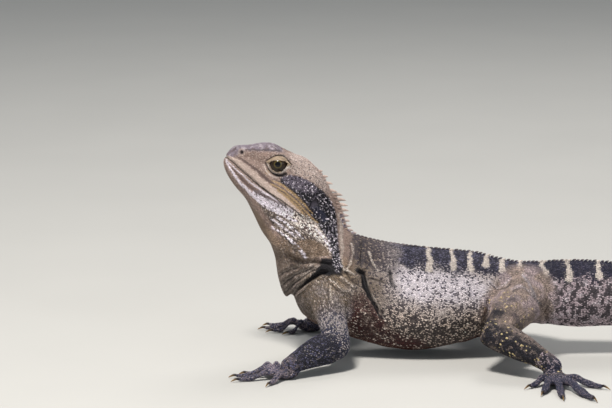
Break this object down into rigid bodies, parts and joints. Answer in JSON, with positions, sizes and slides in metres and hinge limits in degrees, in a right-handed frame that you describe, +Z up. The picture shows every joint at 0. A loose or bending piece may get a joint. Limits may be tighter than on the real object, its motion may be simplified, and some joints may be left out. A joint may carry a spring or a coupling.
{
  "type": "eastern water dragon figure",
  "caption": "Life-size lizard standing on four feet with its head raised, a spiny crest along the nape and back, and a long tapering tail.",
  "frame": {"origin": "on the floor, under the middle of the whole animal from snout to tail tip", "axes": "the head points along -X, +Z is up, and the animal's left side is at -Y"},
  "size_m": [0.7054, 0.2709, 0.1414],
  "materials": {
    "skin": "dry keeled scales, matte",
    "claw": "smooth dark horn, slightly shiny",
    "eye": "wet and glossy"
  },
  "bodies": {
    "root": {"eye_left": "eye", "eye_right": "eye", "finger_claw_left_1": "claw", "finger_claw_left_2": "claw", "finger_claw_left_3": "claw", "finger_claw_left_4": "claw", "finger_claw_left_5": "claw", "finger_claw_right_1": "claw", "finger_claw_right_2": "claw", "finger_claw_right_3": "claw", "finger_claw_right_4": "claw", "finger_claw_right_5": "claw", "foot_left": "skin", "foot_right": "skin", "forearm_left": "skin", "forearm_right": "skin", "hand_left": "skin", "hand_right": "skin", "head": "skin", "lower_jaw": "skin", "neck": "skin", "shank_left": "skin", "shank_right": "skin", "tail_1": "skin", "tail_2": "skin", "tail_3": "skin", "tail_4": "skin", "tail_5": "skin", "thigh_left": "skin", "thigh_right": "skin", "throat": "skin", "toe_claw_left_1": "claw", "toe_claw_left_2": "claw", "toe_claw_left_3": "claw", "toe_claw_left_4": "claw", "toe_claw_left_5": "claw", "toe_claw_right_1": "claw", "toe_claw_right_2": "claw", "toe_claw_right_3": "claw", "toe_claw_right_4": "claw", "toe_claw_right_5": "claw", "torso": "skin", "upper_arm_left": "skin", "upper_arm_right": "skin"}
  },
  "joints": []
}
